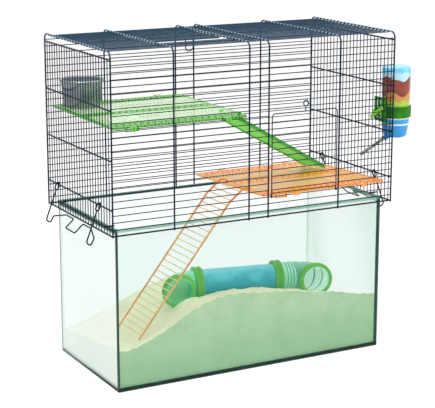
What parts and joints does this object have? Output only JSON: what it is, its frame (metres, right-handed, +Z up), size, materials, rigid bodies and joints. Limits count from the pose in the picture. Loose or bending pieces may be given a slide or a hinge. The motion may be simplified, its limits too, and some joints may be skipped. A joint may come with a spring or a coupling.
{
  "type": "rodent cage",
  "caption": "Two-storey rodent cage: a glass tank of sand with play tubes under a lift-off wire cage with doors, shelves, ramp, ladder, bowl and drink bottle.",
  "frame": {"origin": "middle of the tank's underside", "axes": "+X along the tank to the bottle's end, +Y from the front door to the back, +Z up"},
  "size_m": [0.7342, 0.3202, 0.667],
  "materials": {
    "glass": "clear, pale green",
    "silicone": "dark green, satin",
    "sand": "loose and matt",
    "cyan_plastic": "clear, cyan",
    "teal_plastic": "clear, teal green",
    "mint_plastic": "clear, mint green",
    "lime_plastic": "gloss lime green",
    "navy_wire": "dark blue-grey coating",
    "green_plastic": "gloss leaf green",
    "orange_plastic": "gloss orange",
    "bowl_steel": "polished stainless steel",
    "bottle_plastic": "clear pale blue",
    "cup_plastic": "gloss blue",
    "white_plastic": "white",
    "spout_steel": "bright steel"
  },
  "bodies": {
    "tank": {"base_glass": "glass", "front_glass": "glass", "back_glass": "glass", "left_glass": "glass", "right_glass": "glass", "corner_seams": "silicone", "base_seam": "silicone", "sand_bed": "sand", "straight_tube": "cyan_plastic", "elbow_tube": "teal_plastic", "ribbed_bend": "mint_plastic", "left_joint_ring": "lime_plastic", "right_joint_ring": "lime_plastic", "left_mouth_ring": "lime_plastic", "right_mouth_ring": "lime_plastic"},
    "cage": {"front_grille": "navy_wire", "back_grille": "navy_wire", "roof_grille": "navy_wire", "left_end_grille": "navy_wire", "right_end_grille": "navy_wire", "rim_rests": "navy_wire", "upper_shelf": "green_plastic", "lower_shelf": "orange_plastic", "bottle_holder": "lime_plastic"},
    "front_door": {"front_door": "navy_wire"},
    "roof_door": {"roof_door": "navy_wire"},
    "left_bail": {"left_bail": "navy_wire"},
    "right_bail": {"right_bail": "navy_wire"},
    "ramp": {"ramp": "green_plastic"},
    "ladder": {"ladder": "orange_plastic"},
    "bowl": {"feeding_bowl": "bowl_steel"},
    "bottle": {"bottle": "bottle_plastic", "cup_cap": "cup_plastic", "sealing_ring": "white_plastic", "spout_tube": "spout_steel"},
    "spout_ball": {"spout_ball": "spout_steel"}
  },
  "joints": [
    {"name": "cage_lift", "type": "slide", "parent": "tank", "child": "cage", "axis": [0, 0, 1], "range_m": [0, 0.4]},
    {"name": "front_door_hinge", "type": "hinge", "parent": "cage", "child": "front_door", "pos_m": [0.10585, -0.15625, 0.3563], "axis": [1, 0, 0], "range_deg": [0, 150]},
    {"name": "roof_door_hinge", "type": "hinge", "parent": "cage", "child": "roof_door", "pos_m": [-0.10335, 0.081, 0.66315], "axis": [-1, 0, 0], "range_deg": [0, 165]},
    {"name": "left_bail_hinge", "type": "hinge", "parent": "cage", "child": "left_bail", "pos_m": [-0.314, 0.00635, 0.36629], "axis": [0, 1, 0], "range_deg": [0, 150]},
    {"name": "right_bail_hinge", "type": "hinge", "parent": "cage", "child": "right_bail", "pos_m": [0.314, 0.00635, 0.36629], "axis": [0, -1, 0], "range_deg": [0, 120]},
    {"name": "ramp_hinge", "type": "hinge", "parent": "cage", "child": "ramp", "pos_m": [-0.03628, -0.10569, 0.51172], "axis": [0.4772, -0.8788, 0], "range_deg": [0, 10]},
    {"name": "ladder_hinge", "type": "hinge", "parent": "cage", "child": "ladder", "pos_m": [0.023, -0.026, 0.35817], "axis": [0, 1, 0], "range_deg": [0, 8]},
    {"name": "bowl_lift", "type": "slide", "parent": "cage", "child": "bowl", "axis": [0, 0, 1], "range_m": [0, 0.04]},
    {"name": "bottle_lift", "type": "slide", "parent": "cage", "child": "bottle", "axis": [0, 0, 1], "range_m": [0, 0.012]},
    {"name": "spout_ball_slide", "type": "slide", "parent": "bottle", "child": "spout_ball", "axis": [0.8949, 0, 0.4462], "range_m": [0, 0.0015]}
  ]
}
